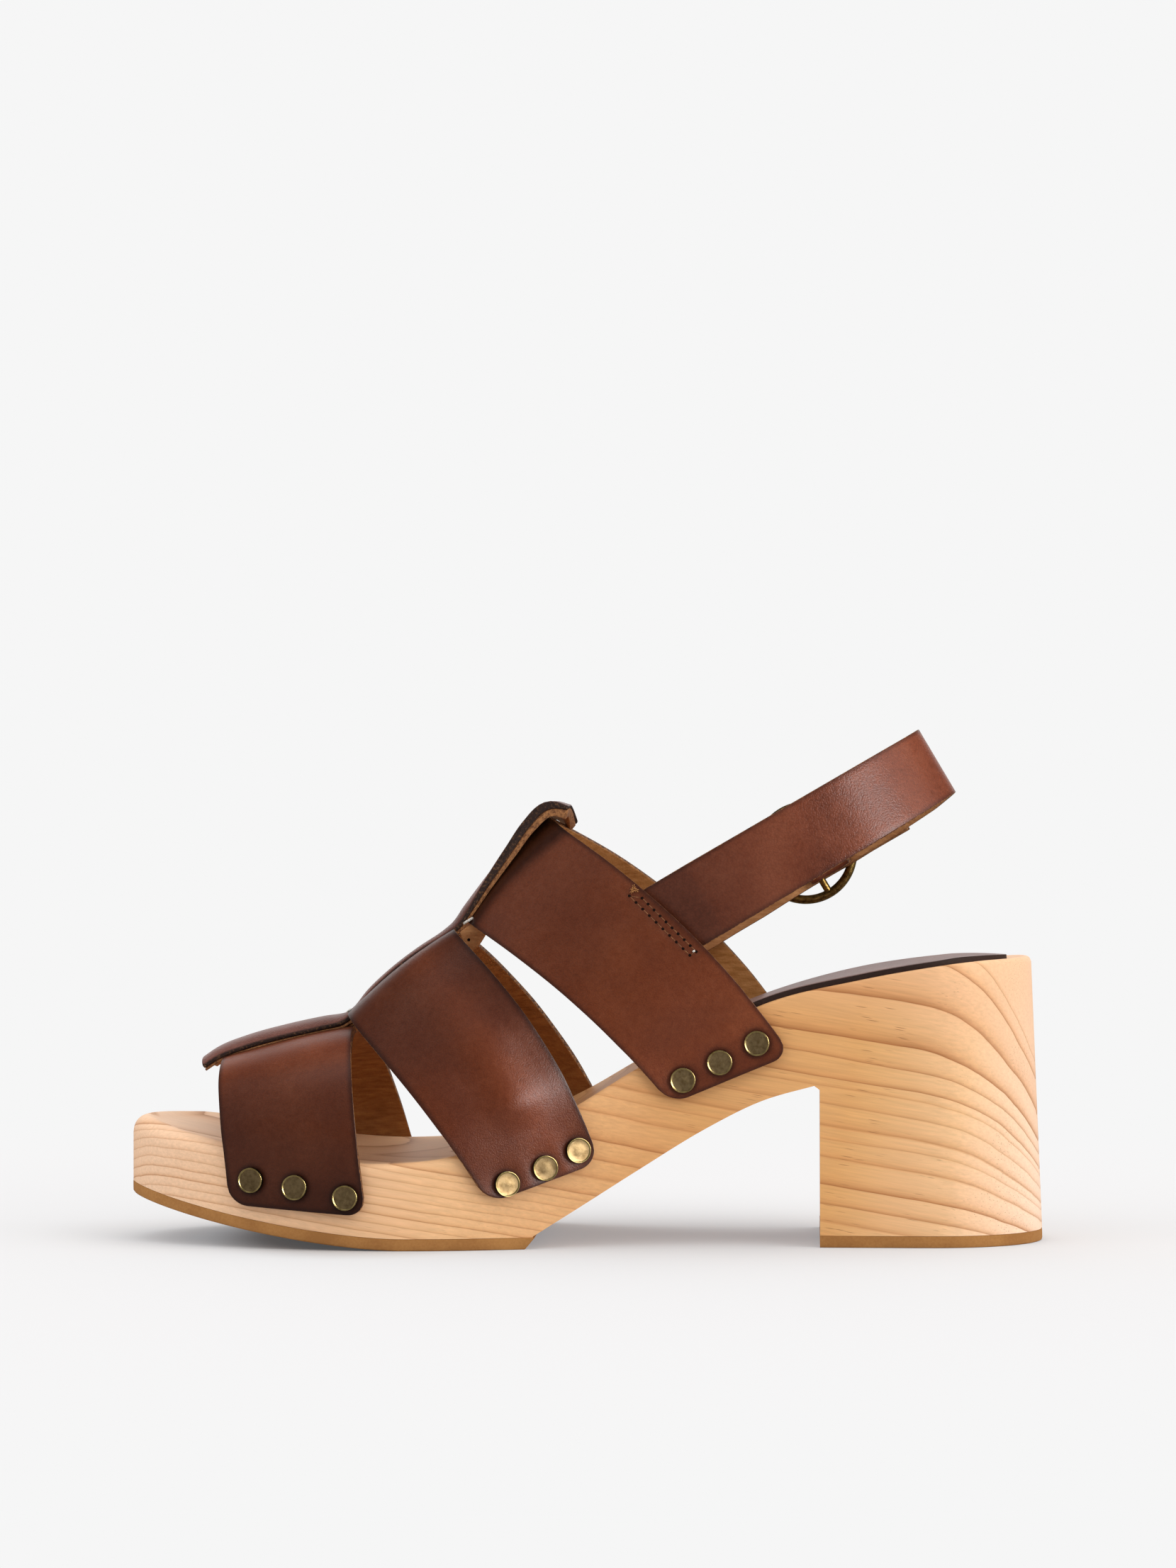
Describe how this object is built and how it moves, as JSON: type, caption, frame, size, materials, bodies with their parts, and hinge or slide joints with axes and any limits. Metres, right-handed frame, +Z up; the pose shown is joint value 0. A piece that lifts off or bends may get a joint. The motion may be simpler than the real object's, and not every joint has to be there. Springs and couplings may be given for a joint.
{
  "type": "clog sandal",
  "caption": "Open-toe clog sandal for the right foot: carved wooden sole with block heel, rubber treads, leather bands nailed to the sole and a buckled slingback strap.",
  "frame": {"origin": "on the floor, below the middle of the bounding box", "axes": "+X to the toe, +Y to the inner side of the right foot, +Z up from the floor"},
  "size_m": [0.241, 0.0974, 0.1348],
  "materials": {
    "pine_wood": "satin, sanded",
    "tan_rubber": "matte",
    "brown_leather": "burnished, soft sheen",
    "sock_leather": "satin",
    "antique_brass": "antiqued, worn bright on the edges"
  },
  "bodies": {
    "root": {"wooden_sole": "pine_wood", "forefoot_outsole": "tan_rubber", "heel_top_piece": "tan_rubber", "heel_sock": "sock_leather", "upper": "brown_leather", "sling_strap": "brown_leather", "buckle_strap": "brown_leather", "buckle_ring": "antique_brass", "buckle_prong": "antique_brass", "stud_toe_inner_1": "antique_brass", "stud_toe_inner_2": "antique_brass", "stud_toe_inner_3": "antique_brass", "stud_toe_outer_1": "antique_brass", "stud_toe_outer_2": "antique_brass", "stud_toe_outer_3": "antique_brass", "stud_mid_inner_1": "antique_brass", "stud_mid_inner_2": "antique_brass", "stud_mid_inner_3": "antique_brass", "stud_mid_outer_1": "antique_brass", "stud_mid_outer_2": "antique_brass", "stud_mid_outer_3": "antique_brass", "stud_instep_inner_1": "antique_brass", "stud_instep_inner_2": "antique_brass", "stud_instep_inner_3": "antique_brass", "stud_instep_outer_1": "antique_brass", "stud_instep_outer_2": "antique_brass", "stud_instep_outer_3": "antique_brass"}
  },
  "joints": []
}
